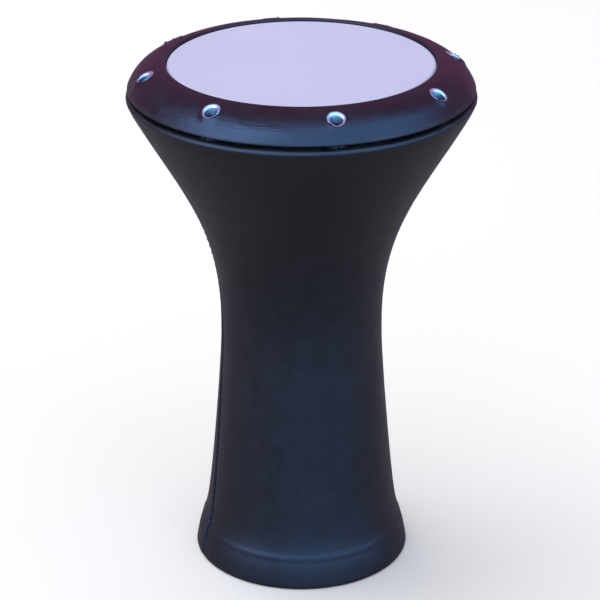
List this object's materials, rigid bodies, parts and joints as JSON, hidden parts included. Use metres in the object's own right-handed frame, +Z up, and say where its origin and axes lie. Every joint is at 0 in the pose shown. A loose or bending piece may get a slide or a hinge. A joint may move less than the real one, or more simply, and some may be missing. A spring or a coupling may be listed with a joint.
{
  "type": "darbuka",
  "caption": "Leather-covered goblet drum with a screwed tuning ring, eyelets and a plastic head; stands on its foot and is open through the foot.",
  "frame": {"origin": "centre of the foot's underside, on the surface the drum stands on", "axes": "+Z up the drum's axis towards the head, -Y to the front, +X to the right seen from the front"},
  "size_m": [0.2829, 0.283, 0.4355],
  "materials": {
    "cast_aluminium": "sand-cast, machined at the bearing edge",
    "black_leather": "smooth black leather, semi-gloss, fine grain",
    "seam_thread": "waxed dark blue-black thread",
    "bright_steel": "bright plated steel",
    "black_steel": "blackened and oiled screws, worn bright at the socket",
    "insert_steel": "turned zinc-plated steel",
    "head_film": "coated polyester film, satin white with a cool tint",
    "hoop_resin": "cast dark resin"
  },
  "bodies": {
    "shell": {"shell_casting": "cast_aluminium", "body_leather_cover": "black_leather", "foot_hem": "black_leather", "seam_stitches": "seam_thread", "thread_inserts": "insert_steel"},
    "ring": {"tuning_ring": "cast_aluminium", "ring_leather_cover": "black_leather", "bolt_eyelets": "bright_steel"},
    "drumhead": {"drumhead_film": "head_film", "drumhead_hoop": "cast_aluminium", "hoop_resin": "hoop_resin"},
    "washer_body_1": {"washer_1": "insert_steel"},
    "bolt_body_1": {"tuning_bolt_1": "black_steel"},
    "washer_body_2": {"washer_2": "insert_steel"},
    "bolt_body_2": {"tuning_bolt_2": "black_steel"},
    "washer_body_3": {"washer_3": "insert_steel"},
    "bolt_body_3": {"tuning_bolt_3": "black_steel"},
    "washer_body_4": {"washer_4": "insert_steel"},
    "bolt_body_4": {"tuning_bolt_4": "black_steel"},
    "washer_body_5": {"washer_5": "insert_steel"},
    "bolt_body_5": {"tuning_bolt_5": "black_steel"},
    "washer_body_6": {"washer_6": "insert_steel"},
    "bolt_body_6": {"tuning_bolt_6": "black_steel"},
    "washer_body_7": {"washer_7": "insert_steel"},
    "bolt_body_7": {"tuning_bolt_7": "black_steel"},
    "washer_body_8": {"washer_8": "insert_steel"},
    "bolt_body_8": {"tuning_bolt_8": "black_steel"}
  },
  "joints": [
    {"name": "ring_lift", "type": "slide", "parent": "shell", "child": "ring", "axis": [0, 0, 1], "range_m": [0, 0.045]},
    {"name": "head_lift", "type": "slide", "parent": "shell", "child": "drumhead", "axis": [0, 0, 1], "range_m": [0, 0.0225]},
    {"name": "bolt_rise_1", "type": "slide", "parent": "ring", "child": "washer_body_1", "axis": [0, 0, 1], "range_m": [0, 0.016]},
    {"name": "bolt_turn_1", "type": "hinge", "parent": "washer_body_1", "child": "bolt_body_1", "pos_m": [0.02641, -0.12423, 0.424], "axis": [0, 0, 1], "range_deg": [0, 7201]},
    {"name": "bolt_rise_2", "type": "slide", "parent": "ring", "child": "washer_body_2", "axis": [0, 0, 1], "range_m": [0, 0.016]},
    {"name": "bolt_turn_2", "type": "hinge", "parent": "washer_body_2", "child": "bolt_body_2", "pos_m": [0.10651, -0.06917, 0.424], "axis": [0, 0, 1], "range_deg": [0, 7201]},
    {"name": "bolt_rise_3", "type": "slide", "parent": "ring", "child": "washer_body_3", "axis": [0, 0, 1], "range_m": [0, 0.016]},
    {"name": "bolt_turn_3", "type": "hinge", "parent": "washer_body_3", "child": "bolt_body_3", "pos_m": [0.12423, 0.02641, 0.424], "axis": [0, 0, 1], "range_deg": [0, 7201]},
    {"name": "bolt_rise_4", "type": "slide", "parent": "ring", "child": "washer_body_4", "axis": [0, 0, 1], "range_m": [0, 0.016]},
    {"name": "bolt_turn_4", "type": "hinge", "parent": "washer_body_4", "child": "bolt_body_4", "pos_m": [0.06917, 0.10651, 0.424], "axis": [0, 0, 1], "range_deg": [0, 7201]},
    {"name": "bolt_rise_5", "type": "slide", "parent": "ring", "child": "washer_body_5", "axis": [0, 0, 1], "range_m": [0, 0.016]},
    {"name": "bolt_turn_5", "type": "hinge", "parent": "washer_body_5", "child": "bolt_body_5", "pos_m": [-0.02641, 0.12423, 0.424], "axis": [0, 0, 1], "range_deg": [0, 7201]},
    {"name": "bolt_rise_6", "type": "slide", "parent": "ring", "child": "washer_body_6", "axis": [0, 0, 1], "range_m": [0, 0.016]},
    {"name": "bolt_turn_6", "type": "hinge", "parent": "washer_body_6", "child": "bolt_body_6", "pos_m": [-0.10651, 0.06917, 0.424], "axis": [0, 0, 1], "range_deg": [0, 7201]},
    {"name": "bolt_rise_7", "type": "slide", "parent": "ring", "child": "washer_body_7", "axis": [0, 0, 1], "range_m": [0, 0.016]},
    {"name": "bolt_turn_7", "type": "hinge", "parent": "washer_body_7", "child": "bolt_body_7", "pos_m": [-0.12423, -0.02641, 0.424], "axis": [0, 0, 1], "range_deg": [0, 7201]},
    {"name": "bolt_rise_8", "type": "slide", "parent": "ring", "child": "washer_body_8", "axis": [0, 0, 1], "range_m": [0, 0.016]},
    {"name": "bolt_turn_8", "type": "hinge", "parent": "washer_body_8", "child": "bolt_body_8", "pos_m": [-0.06917, -0.10651, 0.424], "axis": [0, 0, 1], "range_deg": [0, 7201]}
  ],
  "couplings": [
    {"joint": "head_lift", "follows": "ring_lift", "ratio": 0.5},
    {"joint": "bolt_turn_1", "follows": "bolt_rise_1", "rad_per_m": 7854},
    {"joint": "bolt_turn_2", "follows": "bolt_rise_2", "rad_per_m": 7854},
    {"joint": "bolt_turn_3", "follows": "bolt_rise_3", "rad_per_m": 7854},
    {"joint": "bolt_turn_4", "follows": "bolt_rise_4", "rad_per_m": 7854},
    {"joint": "bolt_turn_5", "follows": "bolt_rise_5", "rad_per_m": 7854},
    {"joint": "bolt_turn_6", "follows": "bolt_rise_6", "rad_per_m": 7854},
    {"joint": "bolt_turn_7", "follows": "bolt_rise_7", "rad_per_m": 7854},
    {"joint": "bolt_turn_8", "follows": "bolt_rise_8", "rad_per_m": 7854}
  ]
}
